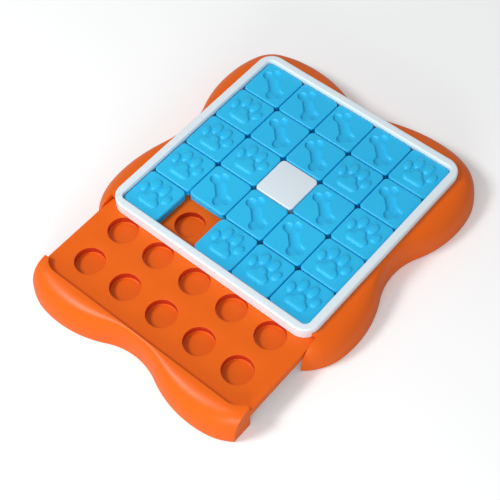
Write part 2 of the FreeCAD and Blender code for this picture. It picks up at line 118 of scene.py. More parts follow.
print("creases from", round(math.degrees(CREASE)), "degrees,", round(math.degrees(CUT_CREASE)), "after cuts")

# %% [markdown]
# Body, frame and tiles are all rounded squares whose section changes as it rises. An
# extrusion can't follow that, and bridging rings one by one may twist them. So each
# piece is a stack of loops with the same count and order of points, and one helper
# joins them into a skin of quads.

# %% Skins through loops
def add_skin(bm, loops, close_start=True, close_end=True, closed_round=False):
    """Add a skin of quads through loops of points. closed_round joins the last to the first."""
    rings = [[bm.verts.new(point) for point in loop] for loop in loops]
    pairs = list(zip(rings, rings[1:]))
    if closed_round:
        pairs.append((rings[-1], rings[0]))
    count = len(rings[0])
    for first, second in pairs:
        for i in range(count):
            j = (i + 1) % count
            bm.faces.new((first[i], first[j], second[j], second[i]))
    if close_start and not closed_round:
        bm.faces.new(list(reversed(rings[0])))
    if close_end and not closed_round:
        bm.faces.new(rings[-1])
    return rings


def square_loop(half, radius, z, corner_steps, side_steps):
    """A rounded square as a list of points, always in the same order."""
    points = []
    inner = half - radius
    for quarter in range(4):
        turn = quarter * math.pi / 2
        cos_turn = math.cos(turn)
        sin_turn = math.sin(turn)
        local = []
        for step in range(side_steps):
            local.append((half, -inner + 2 * inner * step / side_steps))
        for step in range(corner_steps):
            angle = step / corner_steps * math.pi / 2
            local.append((inner + radius * math.cos(angle), inner + radius * math.sin(angle)))
        for x, y in local:
            points.append(Vector((x * cos_turn - y * sin_turn, x * sin_turn + y * cos_turn, z)))
    return points


def circle(centre, radius, z, steps):
    """A ring of points about an upright axis."""
    angles = [2 * math.pi * i / steps for i in range(steps)]
    return [Vector((centre[0] + radius * math.cos(a), centre[1] + radius * math.sin(a), z)) for a in angles]


def moved(points, offset):
    """The same points, shifted."""
    return [point + Vector(offset) for point in points]


print("skin, rounded square and circle helpers ready")

# %% [markdown]
# The real body and drawer come out of one mould shape, cored by plain blocks. Booleans
# do the same here: exact ones, because the cutters' walls run close to the body's skin.
# A block is a cube between two corners, with its edges rounded where it asks for it.

# %% Blocks and cuts
MOULD_ROUND = 0.7 * MM
MOULD_ANGLE = math.radians(50)


def add_box(bm, corner, opposite, bevel=0.0):
    """Add a block between two corners, with its edges rounded by bevel."""
    middle = (Vector(corner) + Vector(opposite)) / 2
    sides = Vector(opposite) - Vector(corner)
    place = Matrix.Translation(middle) @ Matrix.Diagonal((*sides, 1))
    made = bmesh.ops.create_cube(bm, size=1, matrix=place)
    if bevel:
        edges = list({edge for vert in made["verts"] for edge in vert.link_edges})
        bmesh.ops.bevel(bm, geom=edges, offset=bevel, affect="EDGES", segments=2, profile=0.5, material=-1)


def cut_with(piece, *cutters, operation="DIFFERENCE"):
    """Apply exact booleans to a piece and remove the cutters."""
    for cutter in cutters:
        modifier = piece.modifiers.new("cut", "BOOLEAN")
        modifier.operation = operation
        modifier.solver = "EXACT"
        modifier.object = cutter
        bpy.context.view_layer.objects.active = piece
        bpy.ops.object.modifier_apply(modifier=modifier.name)
        bpy.data.objects.remove(cutter)


def round_edges(piece):
    """Give a moulding's outer edges the small round that a mould leaves."""
    edge_round = piece.modifiers.new("edge_round", "BEVEL")
    edge_round.width = MOULD_ROUND
    edge_round.segments = 2
    edge_round.limit_method = "ANGLE"
    edge_round.angle_limit = MOULD_ANGLE


print("edges get a round of", MOULD_ROUND, "m")

# %% [markdown]
# Shader helpers. Long chains of nodes are hard to read, so Sum wraps a socket and plain
# arithmetic on it builds the math nodes. Every pattern reads Object coordinates, which
# stay with the piece when it slides.

# %% Shader helpers
class Sum:
    """A socket of a material's node tree that answers to arithmetic."""

    def __init__(self, tree, socket):
        self.tree = tree
        self.socket = socket

    def maths(self, operation, first, second):
        """A math node of two values, as a new Sum."""
        node = make_node(self.tree, "ShaderNodeMath", {0: first, 1: second}, operation=operation)
        return Sum(self.tree, node.outputs[0])

    def __add__(self, other):
        return self.maths("ADD", self, other)

    def __radd__(self, other):
        return self.maths("ADD", other, self)

    def __sub__(self, other):
        return self.maths("SUBTRACT", self, other)

    def __rsub__(self, other):
        return self.maths("SUBTRACT", other, self)

    def __mul__(self, other):
        return self.maths("MULTIPLY", self, other)

    def __rmul__(self, other):
        return self.maths("MULTIPLY", other, self)


def set_inputs(tree, node, values):
    """Set a node's inputs to constants, or link them to sockets."""
    for name, value in values.items():
        if isinstance(value, Sum):
            value = value.socket
        if isinstance(value, bpy.types.NodeSocket):
            tree.links.new(value, node.inputs[name])
        else:
            node.inputs[name].default_value = value


def make_node(tree, kind, values=None, **settings):
    """One node: its settings first, then its inputs."""
    node = tree.nodes.new(kind)
    for name, value in settings.items():
        setattr(node, name, value)
    set_inputs(tree, node, values or {})
    return node


def new_material(name):
    """An empty material with its node tree and its shader."""
    material = bpy.data.materials.new(name)
    material.use_nodes = True
    return material, material.node_tree, material.node_tree.nodes["Principled BSDF"]


print("shader helpers ready")

# %% [markdown]
# Plastics. The pieces are injection moulded and semi glossy. One flat colour and one
# roughness would do for a toy on a screen, but real mouldings cloud a little where the
# plastic cooled, so a wide noise shifts colour and gloss, and a fine one grains them.
# The wells' walls get a darker, redder orange: painted shade that stands in for the shade inside the wells.

# %% Plastics
CLOUD_SCALE = 9.0
GRAIN_SCALE = 900.0
GRAIN_DEPTH = 0.2 * MM
GLOSS_SPREAD = 0.08
PLASTIC_IOR = 1.48


def noise(tree, scale):
    """Soft noise on Object coordinates, about 0.5 on average."""
    place = make_node(tree, "ShaderNodeTexCoord")
    values = {"Vector": place.outputs["Object"], "Scale": scale, "Detail": 2.0}
    return Sum(tree, make_node(tree, "ShaderNodeTexNoise", values).outputs["Fac"])


def plastic(name, colour, shade, roughness, specular=0.5, grain=0.02):
    """Moulded plastic: two close colours, faint clouding of the gloss and a fine grain."""
    material, tree, shader = new_material(name)
    cloud = noise(tree, CLOUD_SCALE)
    fine = noise(tree, GRAIN_SCALE)
    colours = {"Factor": cloud, "A": (*colour, 1), "B": (*shade, 1)}
    mix = make_node(tree, "ShaderNodeMix", colours, data_type="RGBA")
    bump = make_node(tree, "ShaderNodeBump", {"Height": fine, "Strength": grain, "Distance": GRAIN_DEPTH})
    set_inputs(tree, shader, {
        "Base Color": mix.outputs["Result"],
        "Roughness": (cloud - 0.5) * GLOSS_SPREAD + roughness,
        "Normal": bump.outputs["Normal"],
        "IOR": PLASTIC_IOR,
        "Specular IOR Level": specular,
    })
    return material


orange = plastic("orange_plastic", (0.90, 0.142, 0.004), (0.88, 0.132, 0.003), 0.36, specular=0.3)
white = plastic("white_plastic", (0.84, 0.93, 0.98), (0.82, 0.91, 0.97), 0.32)
# Painted shade: a darker, redder orange for the wells' walls, in place of the shade that falls inside the
# wells.
well_painted_shade = plastic("orange_plastic_painted_shade", (0.58, 0.042, 0.010), (0.54, 0.038, 0.008), 0.42, specular=0.2)
blue = plastic("blue_plastic", (0.026, 0.60, 0.97), (0.016, 0.49, 0.87), 0.36, specular=0.45)
plain_white = plastic("plain_tile_plastic", (0.80, 0.89, 0.95), (0.78, 0.87, 0.94), 0.34)
rubber = plastic("foot_rubber", (0.46, 0.47, 0.48), (0.42, 0.43, 0.44), 0.7, grain=0.2)
steel = plastic("screw_steel", (0.62, 0.62, 0.64), (0.55, 0.55, 0.57), 0.35)
steel.node_tree.nodes["Principled BSDF"].inputs["Metallic"].default_value = 1.0
print("materials", [item.name for item in bpy.data.materials])

# %% [markdown]
# Wavy outline. From above, each side of the body bulges twice and is drawn in at its
# middle. A spline would need points placed by eye. Here each eighth of the outline is
# three tangent arcs: a hollow one at the waist, a long one along the bulge and a tight
# one at the corner, so five sizes give it all. The centres follow from the tangency.
# The outline stays a hair inside the CAD body's, whose facets lie inside the true curve.

# %% Wavy outline
FACET_ROOM = 0.08 * MM
BULGE = FRAME_HALF + 28 * MM - FACET_ROOM
WAIST = FRAME_HALF + 7.5 * MM
PEAK = 86 * MM
SIDE_BEND = 120 * MM
CORNER_BEND = 61 * MM

side_x = BULGE - SIDE_BEND
total = side_x + PEAK
product = (side_x ** 2 + PEAK ** 2 - (SIDE_BEND - CORNER_BEND) ** 2) / 2
corner_at = (total + math.sqrt(total ** 2 - 4 * product)) / 2
gap = WAIST - side_x
hollow = (gap ** 2 + PEAK ** 2 - SIDE_BEND ** 2) / (2 * (SIDE_BEND - gap))
share = SIDE_BEND / (SIDE_BEND + hollow)
waist_turn = math.atan2(PEAK * (1 - share), side_x + (WAIST + hollow - side_x) * share)
aim = Vector((corner_at - side_x, corner_at - PEAK)).normalized() * SIDE_BEND
side_turn = math.atan2(PEAK + aim.y, side_x + aim.x)


def ray_to_circle(angle, centre, radius, far=True):
    """Distance from the origin to a circle along one direction."""
    along = centre[0] * math.cos(angle) + centre[1] * math.sin(angle)
    across = centre[0] * math.sin(angle) - centre[1] * math.cos(angle)
    root = math.sqrt(max(radius * radius - across * across, 0))
    return along + root if far else along - root


def folded(angle):
    """The same direction in the first eighth of a turn, where the three arcs are drawn."""
    angle = angle % (math.pi / 2)
    return min(angle, math.pi / 2 - angle)


def wavy_reach(angle):
    """How far the floor outline reaches in one direction."""
    angle = folded(angle)
    if angle < waist_turn:
        return ray_to_circle(angle, (WAIST + hollow, 0), hollow, far=False)
    if angle < side_turn:
        return ray_to_circle(angle, (side_x, PEAK), SIDE_BEND)
    return ray_to_circle(angle, (corner_at, corner_at), CORNER_BEND)


print("corner centre", round(corner_at, 4), "waist radius", round(hollow, 4))

# %% [markdown]
# Domed form. The sides swell from the floor outline up to the frame's outline. A plain
# bevel would leave a flat band, so the swell is a superellipse: full at the bulges and
# steep at the waists. Body and drawer front are cut from the same form, which is why
# they line up when the drawer is shut.

# %% Domed form
CROWN = 35 * MM
RIM = 0.8 * MM
POWER = 2.4
FORM_STEPS = 288
FORM_LEVELS = 22


def square_reach(angle, half, radius):
    """How far a rounded square reaches in one direction."""
    angle = folded(angle)
    if angle < math.atan2(half - radius, half):
        return half / math.cos(angle)
    return ray_to_circle(angle, (half - radius, half - radius), radius)


def body_form(name, centre):
    """The whole domed form as a closed mesh."""
    loops = []
    for level in range(FORM_LEVELS + 1):
        climb = level / FORM_LEVELS * math.pi / 2
        spread = math.cos(climb) ** (2 / POWER) if level < FORM_LEVELS else 0.0
        z = RIM + (CROWN - RIM) * math.sin(climb) ** (2 / POWER)
        loop = []
        for step in range(FORM_STEPS):
            angle = 2 * math.pi * step / FORM_STEPS
            inner = square_reach(angle, FRAME_HALF, FRAME_RADIUS)
            reach = inner + (wavy_reach(angle) - inner) * spread
            loop.append(centre + Vector((reach * math.cos(angle), reach * math.sin(angle), z)))
        loops.append(loop)
    bm = bmesh.new()
    add_skin(bm, loops)
    return finish_mesh(name, bm, orange)


print("form from", RIM, "to", CROWN, "m high")

# %% [markdown]
# Body shell. On the real toy this is one orange moulding round the board, open in front
# for the drawer. Building its walls one by one would lose the smooth dome, so the form
# is cut instead: by the frame's seat, which has round corners, by the drawer's channel
# below it and by the open front. Its edges get a small round.

# %% Body shell
SHELL_GAP = 0.5 * MM
SHELL_HALF = FRAME_HALF + SHELL_GAP
SHELL_RADIUS = FRAME_RADIUS + SHELL_GAP
SEAT_STEPS = 12
SLIDE_PLAY = 0.8 * MM
TRAY_HALF = FRAME_HALF + 2.7 * MM
CHANNEL_HALF = TRAY_HALF + SLIDE_PLAY
CHANNEL_BACK = FRAME_HALF + 2.3 * MM + SLIDE_PLAY
LIP_LEVEL = TRAY_TOP + 2.7 * MM
FRONT_END = FRAME_HALF - 8 * MM
ABOVE = 60 * MM
BELOW = -10 * MM
FAR_BELOW = -20 * MM
FAR = 300 * MM


def block(corner, opposite, centre):
    """A plain block used as a cutter."""
    bm = bmesh.new()
    add_box(bm, Vector(corner) + centre, Vector(opposite) + centre)
    return finish_mesh("cutter", bm, orange)


def seat_block(z_low, centre):
    """The room for the frame, from z_low up, used as a cutter."""
    bm = bmesh.new()
    loops = [moved(square_loop(SHELL_HALF, SHELL_RADIUS, z, SEAT_STEPS, 1), centre) for z in (z_low, ABOVE)]
    add_skin(bm, loops)
    return finish_mesh("cutter", bm, orange)


shell = body_form("body_shell", BOARD_CENTRE)
cut_with(
    shell,
    seat_block(LIP_LEVEL, BOARD_CENTRE),
    block((-CHANNEL_HALF, -FAR, BELOW), (CHANNEL_HALF, CHANNEL_BACK, LIP_LEVEL), BOARD_CENTRE),
    block((-CHANNEL_HALF, -FAR, FAR_BELOW), (CHANNEL_HALF, -FRONT_END + SLIDE_PLAY, ABOVE), BOARD_CENTRE),
)
smooth_again(shell, orange)
round_edges(shell)
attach(shell, "board")
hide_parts("base_shell")
print("body shell", len(shell.data.polygons), "faces")

# %% [markdown]
# Drawer front. The drawer's front wall is the missing front of the body. It is the same
# form again, kept only where the drawer is, and hollowed where it hugs the frame, so
# that the shut drawer completes the wavy outline. It rides on the drawer's body.

# %% Drawer front
front = body_form("drawer_front", DRAWER_CENTRE)
kept_part = block((-TRAY_HALF, -FAR, BELOW), (TRAY_HALF, -FRONT_END, ABOVE), DRAWER_CENTRE)
cut_with(front, kept_part, operation="INTERSECT")
cut_with(front, seat_block(BELOW, DRAWER_CENTRE))
smooth_again(front, orange)
round_edges(front)
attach(front, "drawer")
print("drawer front", len(front.data.polygons), "faces")

# %% [markdown]
# Treat wells. Each well is a round pocket with a softened mouth, a small round at its
# floor and a square cup below. Cutting 25 cylinders out of a plate would leave long thin
# faces between them. Here every cell of the tray is its own square of skin, drawn from
# the square's edge to the well's floor, and the cells join edge to edge.

# %% Treat wells
PLATE = 2.4 * MM
WELL_RADIUS = 15.8 * MM
WELL_DEPTH = 8 * MM
WELL_FLOOR = 1.8 * MM
WELL_WALL = 2 * MM
WELL_STEPS = 72
MOUTH_ROUND = 0.6 * MM
FLOOR_ROUND = 1.2 * MM
ROUND_POINTS = 5
CUP_HALF = WELL_RADIUS + WELL_WALL
CUP_LOW = TRAY_TOP - WELL_DEPTH - WELL_FLOOR
PLATE_LOW = TRAY_TOP - PLATE


def well_profile():
    """Radius and height of a well's wall, from its mouth down to its floor."""
    angles = [step / (ROUND_POINTS - 1) * math.pi / 2 for step in range(ROUND_POINTS)]
    profile = []
    for angle in angles:
        profile.append((WELL_RADIUS + MOUTH_ROUND * (1 - math.sin(angle)),
                        TRAY_TOP - MOUTH_ROUND * (1 - math.cos(angle))))
    for angle in angles:
        profile.append((WELL_RADIUS - FLOOR_ROUND * (1 - math.cos(angle)),
                        TRAY_TOP - WELL_DEPTH + FLOOR_ROUND * (1 - math.sin(angle))))
    return profile


def cell_ring(centre, half, z):
    """A square ring with one point in each direction that a well's ring has."""
    ring = []
    for i in range(WELL_STEPS):
        angle = 2 * math.pi * i / WELL_STEPS
        reach = half / max(abs(math.cos(angle)), abs(math.sin(angle)))
        ring.append(Vector((centre[0] + reach * math.cos(angle), centre[1] + reach * math.sin(angle), z)))
    return ring


tray_mesh = bmesh.new()
well_centres = []
for column in range(BOARD):
    for line in range(BOARD):
        x = (column - BOARD // 2) * PITCH
        y = DRAWER_CENTRE.y + (line - BOARD // 2) * PITCH
        well_centres.append((x, y))
for centre in well_centres:
    loops = [cell_ring(centre, PITCH / 2, TRAY_TOP)]
    loops += [circle(centre, radius, z, WELL_STEPS) for radius, z in well_profile()]
    rings = add_skin(tray_mesh, loops, close_start=False)
    # The faces of each well's wall take the second material, the painted shade of the wells' walls.
    for ring in rings[ROUND_POINTS - 1:ROUND_POINTS + 2]:
        for vert in ring:
            for face in vert.link_faces:
                face.material_index = 1
for centre in well_centres:
    loops = [cell_ring(centre, CUP_HALF, CUP_LOW)]
    loops.append(cell_ring(centre, CUP_HALF, PLATE_LOW))
    loops.append(cell_ring(centre, PITCH / 2, PLATE_LOW))
    add_skin(tray_mesh, loops, close_end=False)
print(len(well_centres), "wells, 2 x", round(WELL_RADIUS, 4), "m wide")

# %% [markdown]
# Tray rim and skirts. Round the field of wells the tray has a flat rim, and thin skirts
# that hang down at its sides and slide in the body's channel. One strip of faces goes
# from the wells' edge out over the rim, down the skirt and back under to the wells, so
# the whole tray is one moulding with a real wall thickness.

# %% Tray rim and skirts
SKIRT = 10.4 * MM
TRAY_WALL = 2.4 * MM
TRAY_CREASE = math.radians(40)
SIDE_ROOM = 0.05 * MM
FRONT_LAP = 0.6 * MM
GRID_HALF = BOARD * PITCH / 2
SKIRT_LOW = TRAY_TOP - SKIRT
drawer_y = DRAWER_CENTRE.y
tray_front = drawer_y - SHELL_HALF - FRONT_LAP
tray_back = drawer_y + FRAME_HALF - SLIDE_PLAY


def corners(reach, y_front, y_back, z):
    """Four corners of a level rectangle, from the front left round to the back left."""
    return [(-reach, y_front, z), (reach, y_front, z), (reach, y_back, z), (-reach, y_back, z)]


tray_side = TRAY_HALF - SIDE_ROOM
thin_side = tray_side - TRAY_WALL
thin_back = tray_back - TRAY_WALL
rim_loops = [
    corners(GRID_HALF, drawer_y - GRID_HALF, drawer_y + GRID_HALF, TRAY_TOP),
    corners(tray_side, tray_front, tray_back, TRAY_TOP),
    corners(tray_side, tray_front, tray_back, SKIRT_LOW),
    corners(thin_side, tray_front, thin_back, SKIRT_LOW),
    corners(thin_side, tray_front, thin_back, PLATE_LOW),
    corners(GRID_HALF, drawer_y - GRID_HALF, drawer_y + GRID_HALF, PLATE_LOW),
]
outwards = [list(reversed(loop)) for loop in rim_loops]
add_skin(tray_mesh, outwards, close_start=False, close_end=False)
# The second material is the painted shade on the wells' walls.
tray = finish_mesh("tray", tray_mesh, orange, crease=TRAY_CREASE, open_skin=True, second=well_painted_shade)
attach(tray, "drawer")
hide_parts("treat_drawer")
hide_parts("treat_drawer")
print("tray", len(tray.data.polygons), "faces")

# %% [markdown]
# White frame. It is a rounded bar round the board, with a tile's groove in two of its
# inner walls and a rib on the other two, which hold the outer row of tiles. The bar's
# section could be swept along a curve, but its outer and inner corners have radii of
# their own. So the section is closed round: up the outer wall, over the top and down
# the inner one, each level a rounded square.

# %% White frame
INNER_HALF = BOARD * PITCH / 2 + 0.4 * MM
INNER_RADIUS = 6 * MM
OUTER_ROUND = 2.0 * MM
INNER_ROUND = 1.6 * MM
ROUND_STEPS = 7
FRAME_STEPS = dict(corner_steps=14, side_steps=6)
GROOVE_LOW = TILE_BASE + 3.1 * MM
GROOVE_HIGH = TILE_BASE + 5.9 * MM
GROOVE_DEPTH = 1.7 * MM
RIB_REACH = 2.1 * MM
RIB_ROOT = 1 * MM
RIB_ROUND = 0.3 * MM
RIB_LOW = TILE_BASE + 3.4 * MM
RIB_HIGH = TILE_BASE + 5.6 * MM
NEAR_WALL = 0.2 * MM


def outer_loop(inset, z):
    """A loop of the frame's outer wall, drawn in by inset."""
    return moved(square_loop(FRAME_HALF - inset, FRAME_RADIUS - inset, z, **FRAME_STEPS), BOARD_CENTRE)


def inner_loop(inset, z):
    """A loop of the frame's inner wall, widened by inset."""
    return moved(square_loop(INNER_HALF + inset, INNER_RADIUS + inset, z, **FRAME_STEPS), BOARD_CENTRE)


def grooved(loop):
    """Push a loop's left and back sides outwards by the groove's depth."""
    limit = INNER_HALF - NEAR_WALL
    shifted = []
    for point in loop:
        local = point - BOARD_CENTRE
        if local.x < -limit:
            local.x -= GROOVE_DEPTH
        if local.y > limit:
            local.y += GROOVE_DEPTH
        shifted.append(local + BOARD_CENTRE)
    return shifted


loops = [outer_loop(0, TILE_BASE), outer_loop(0, FRAME_TOP - OUTER_ROUND)]
for step in range(1, ROUND_STEPS + 1):
    angle = step / ROUND_STEPS * math.pi / 2
    drop = OUTER_ROUND * (1 - math.sin(angle))
    loops.append(outer_loop(OUTER_ROUND * (1 - math.cos(angle)), FRAME_TOP - drop))
for step in range(ROUND_STEPS + 1):
    angle = step / ROUND_STEPS * math.pi / 2
    drop = INNER_ROUND * (1 - math.cos(angle))
    loops.append(inner_loop(INNER_ROUND * (1 - math.sin(angle)), FRAME_TOP - drop))
wall_high = inner_loop(0, GROOVE_HIGH)
wall_low = inner_loop(0, GROOVE_LOW)
loops += [wall_high, grooved(wall_high), grooved(wall_low), wall_low, inner_loop(0, TILE_BASE)]
bm = bmesh.new()
add_skin(bm, loops, closed_round=True)
rib_half = INNER_HALF - TILE_RADIUS
rib_front = BOARD_Y - INNER_HALF
add_box(bm, (INNER_HALF - RIB_REACH, BOARD_Y - rib_half, RIB_LOW),
        (INNER_HALF + RIB_ROOT, BOARD_Y + rib_half, RIB_HIGH), RIB_ROUND)
add_box(bm, (-rib_half, rib_front - RIB_ROOT, RIB_LOW),
        (rib_half, rib_front + RIB_REACH, RIB_HIGH), RIB_ROUND)
rim_frame = finish_mesh("rim_frame", bm, white)
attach(rim_frame, "board")
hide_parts("top_frame")
print("rim frame", len(rim_frame.data.polygons), "faces")

# %% [markdown]
# Tile sides. Every tile has a hollow underside, softened top edges, and a groove on its
# right and front sides for its neighbours' tongues. A cut for each groove would be slow
# on 24 tiles, so two loops of the stack are drawn in instead. The sides have as many
# points as the relief on top has cells, which lets the two join without slivers.

# %% Tile sides
TILE_HEIGHT = TILE_TOP - TILE_BASE
EDGE_ROUND = 1.5 * MM
EDGE_STEPS = 5
BOTTOM_CHAMFER = 0.4 * MM
CAVITY_HALF = 19.3 * MM
CAVITY_RADIUS = 2 * MM
CAVITY_TOP = 5.6 * MM
RELIEF_CELLS = 64
CORNER_STEPS = 8
TILE_STEPS = dict(corner_steps=CORNER_STEPS, side_steps=RELIEF_CELLS - CORNER_STEPS)


def clamped(loop):
    """A loop with its right and front sides pulled in by the groove's depth."""
    limit = TILE_HALF - GROOVE_DEPTH
    return [Vector((min(point.x, limit), max(point.y, -limit), point.z)) for point in loop]


def side_loop(inset, z):
    """A loop of a tile's outer side, drawn in by inset."""
    return square_loop(TILE_HALF - inset, TILE_RADIUS - inset, z, **TILE_STEPS)


def tile_sides():
    """Loops of a tile's skin from its hollow underside to the start of its flat top."""
    loops = [square_loop(CAVITY_HALF, CAVITY_RADIUS, z, **TILE_STEPS) for z in (CAVITY_TOP, 0)]
    loops += [side_loop(BOTTOM_CHAMFER, 0), side_loop(0, BOTTOM_CHAMFER)]
    low_edge = side_loop(0, GROOVE_LOW - TILE_BASE)
    high_edge = side_loop(0, GROOVE_HIGH - TILE_BASE)
    loops += [low_edge, clamped(low_edge), clamped(high_edge), high_edge]
    for step in range(EDGE_STEPS + 1):
        angle = step / EDGE_STEPS * math.pi / 2
        drop = EDGE_ROUND * (1 - math.sin(angle))
        loops.append(side_loop(EDGE_ROUND * (1 - math.cos(angle)), TILE_HEIGHT - drop))
    return loops


print("tile side of", len(tile_sides()), "loops")

# %% [markdown]
# Bone and paw outlines. The real tiles have them moulded in: a bone sunk into the top,
# a paw standing on it. Joined circles and bars would meet in creases. Here each shape is
# a function that tells how far a point lies inside it. Taking the largest of several
# such distances joins the parts, and filling the hollows between them rounds the joints.

# %% Bone and paw outlines
LOBE_ALONG = 14.4 * MM
LOBE_ACROSS = 4.6 * MM
LOBE_RADIUS = 5.6 * MM
SHAFT_HALF = 6.0 * MM
BONE_BLEND = 4.0 * MM
HEEL_BLEND = 4.0 * MM
TOES = [
    ((-6.2 * MM, 10.6 * MM), 5.1 * MM, 7.9 * MM, math.radians(4)),
    ((5.8 * MM, 10.6 * MM), 5.1 * MM, 7.9 * MM, math.radians(-10)),
    ((-14.6 * MM, 2.0 * MM), 4.6 * MM, 6.8 * MM, math.radians(18)),
    ((14.6 * MM, 2.4 * MM), 4.6 * MM, 6.8 * MM, math.radians(-18)),
]
HEEL = [
    (0, -2.6 * MM, 5.8 * MM),
    (-6.4 * MM, -9.6 * MM, 6.0 * MM),
    (6.4 * MM, -9.6 * MM, 6.0 * MM),
    (0, -8.8 * MM, 6.6 * MM),
]


def blended(distances, width):
    """The largest of some distances, with the hollows between them filled softly."""
    best = distances[0]
    for other in distances[1:]:
        overlap = max(width - abs(best - other), 0) / width
        best = max(best, other) + overlap * overlap * width / 4
    return best


def inside_bone(x, y):
    """Distance inside the bone's edge. It lies across the tile, from back left to front right."""
    along = (x - y) / math.sqrt(2)
    across = (x + y) / math.sqrt(2)
    lobe = LOBE_RADIUS - math.hypot(abs(along) - LOBE_ALONG, abs(across) - LOBE_ACROSS)
    shaft = min(SHAFT_HALF - abs(across), LOBE_ALONG + LOBE_RADIUS / 2 - abs(along))
    return blended([shaft, lobe], BONE_BLEND)


def inside_paw(x, y):
    """Distance inside the nearest edge of the paw's toes and pad."""
    toes = []
    for (centre_x, centre_y), half_across, half_along, tilt in TOES:
        step_x = x - centre_x
        step_y = y - centre_y
        across = (step_x * math.cos(tilt) + step_y * math.sin(tilt)) / half_across
        along = (step_y * math.cos(tilt) - step_x * math.sin(tilt)) / half_along
        toes.append((1 - math.hypot(across, along)) * half_across)
    heel = [radius - math.hypot(x - centre_x, y - centre_y) for centre_x, centre_y, radius in HEEL]
    return max(*toes, blended(heel, HEEL_BLEND))


print("bone", round(2 * (LOBE_ALONG + LOBE_RADIUS), 4), "m long,", len(TOES), "toes")

# %% [markdown]
# Relief. A displacement modifier on a grid gives wobbly outlines, because the grid's
# points miss the edge. So each point that is near an outline is first moved onto it,
# and then every point gets its height: a steep wall at the outline and a soft crown on
# the paw, or a bowl in the bone.

# %% Relief
RELIEF_HALF = 20.5 * MM
SCOOP_EDGE = 1.0 * MM
SCOOP_WALL = 1.6 * MM
SCOOP_BOWL = 1.6 * MM
PAD_EDGE = 1.3 * MM
PAD_WALL = 1.2 * MM
PAD_CROWN = 4.5 * MM
PAD_RISE = 1.2 * MM
SNAP_SHARE = 0.45
SLOPE_STEP = 0.05 * MM
LEAST_SLOPE = 0.2


def softly(share):
    """A step from 0 to 1 with no corner at either end."""
    share = min(max(share, 0), 1)
    return share * share * (3 - 2 * share)


def relief(kind, x, y):
    """Height of a paw above the tile's top, or of a bone's floor below it."""
    if kind == "bone":
        inside = inside_bone(x, y)
        bowl = min(max(inside, 0) / SHAFT_HALF, 1)
        return -SCOOP_WALL * softly(inside / SCOOP_EDGE) - SCOOP_BOWL * (1 - (1 - bowl) ** 2)
    inside = inside_paw(x, y)
    crown = min(max(inside, 0) / PAD_CROWN, 1)
    return PAD_WALL * softly(inside / PAD_EDGE) + PAD_RISE * (1 - (1 - crown) ** 2)


def snapped(inside, x, y, reach):
    """Move a point that is near an outline onto it, so that the edge comes out clean."""
    distance = inside(x, y)
    if abs(distance) > reach:
        return x, y
    slope_x = (inside(x + SLOPE_STEP, y) - inside(x - SLOPE_STEP, y)) / (2 * SLOPE_STEP)
    slope_y = (inside(x, y + SLOPE_STEP) - inside(x, y - SLOPE_STEP)) / (2 * SLOPE_STEP)
    steepness = max(slope_x ** 2 + slope_y ** 2, LEAST_SLOPE)
    return x - distance * slope_x / steepness, y - distance * slope_y / steepness


def top_grid(kind):
    """Points of the tile's top as rows, with its paw or bone in their heights."""
    cell = 2 * RELIEF_HALF / RELIEF_CELLS
    inside = inside_bone if kind == "bone" else inside_paw
    rows = []
    for row in range(RELIEF_CELLS + 1):
        points = []
        for column in range(RELIEF_CELLS + 1):
            x = column * cell - RELIEF_HALF
            y = row * cell - RELIEF_HALF
            height = 0
            if 0 < row < RELIEF_CELLS and 0 < column < RELIEF_CELLS:
                x, y = snapped(inside, x, y, SNAP_SHARE * cell)
                height = relief(kind, x, y)
            points.append((x, y, TILE_HEIGHT + height))
        rows.append(points)
    return rows


RELIEFS = {kind: top_grid(kind) for kind in ("paw", "bone")}
for kind, rows in RELIEFS.items():
    heights = [point[2] - TILE_HEIGHT for row in rows for point in row]
    print(kind, "from", round(min(heights), 4), "to", round(max(heights), 4), "m")

# %% [markdown]
# One tile. The stack of loops gives its sides, the grid its top, and two small bars are
# the tongues on its left and back sides that run in the neighbours' grooves. The CAD
# node's box holds those tongues too, so its right and front faces give the tile's place.

# %% One tile
TONGUE_REACH = 2.2 * MM
TONGUE_HALF = 18 * MM
bodies = frame["record"]["behaviour"]["bodies"]
body_with = {node: body for body, members in bodies.items() for node in members}


def add_relief(bm, rim, grid):
    """Fill a tile's top with a grid of heights, and join the grid's border to the rim."""
    verts = [[bm.verts.new(point) for point in row] for row in grid]
    last = RELIEF_CELLS
    for row in range(last):
        for column in range(last):
            bm.faces.new((verts[row][column], verts[row][column + 1],
                          verts[row + 1][column + 1], verts[row + 1][column]))
    border = [verts[i][last] for i in range(last)]
    border += [verts[last][last - i] for i in range(last)]
    border += [verts[last - i][0] for i in range(last)]
    border += [verts[0][i] for i in range(last)]
    count = len(border)
    for i in range(count):
        j = (i + 1) % count
        outer = rim[(i - CORNER_STEPS // 2) % count]
        next_outer = rim[(j - CORNER_STEPS // 2) % count]
        bm.faces.new((outer, next_outer, border[j], border[i]))


def make_tile(name, kind, node):
    """One finished tile in the place of its CAD node."""
    plain = kind == "plain"
    low_corner, high_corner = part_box(node)
    centre = Vector((high_corner[0] - TILE_HALF, low_corner[1] + TILE_HALF, TILE_BASE))
    bm = bmesh.new()
    rings = add_skin(bm, tile_sides(), close_end=plain)
    if not plain:
        add_relief(bm, rings[-1], RELIEFS[kind])
    tongue_low = RIB_LOW - TILE_BASE
    tongue_high = RIB_HIGH - TILE_BASE
    add_box(bm, (-TILE_HALF - TONGUE_REACH, -TONGUE_HALF, tongue_low),
            (-TILE_HALF + RIB_ROOT, TONGUE_HALF, tongue_high), RIB_ROUND)
    add_box(bm, (-TONGUE_HALF, TILE_HALF - RIB_ROOT, tongue_low),
            (TONGUE_HALF, TILE_HALF + TONGUE_REACH, tongue_high), RIB_ROUND)
    bmesh.ops.translate(bm, verts=bm.verts, vec=centre)
    tile = finish_mesh(name, bm, plain_white if plain else blue)
    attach(tile, body_with[node])
    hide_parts(node)
    return tile


print(len(body_with), "nodes know their bodies")

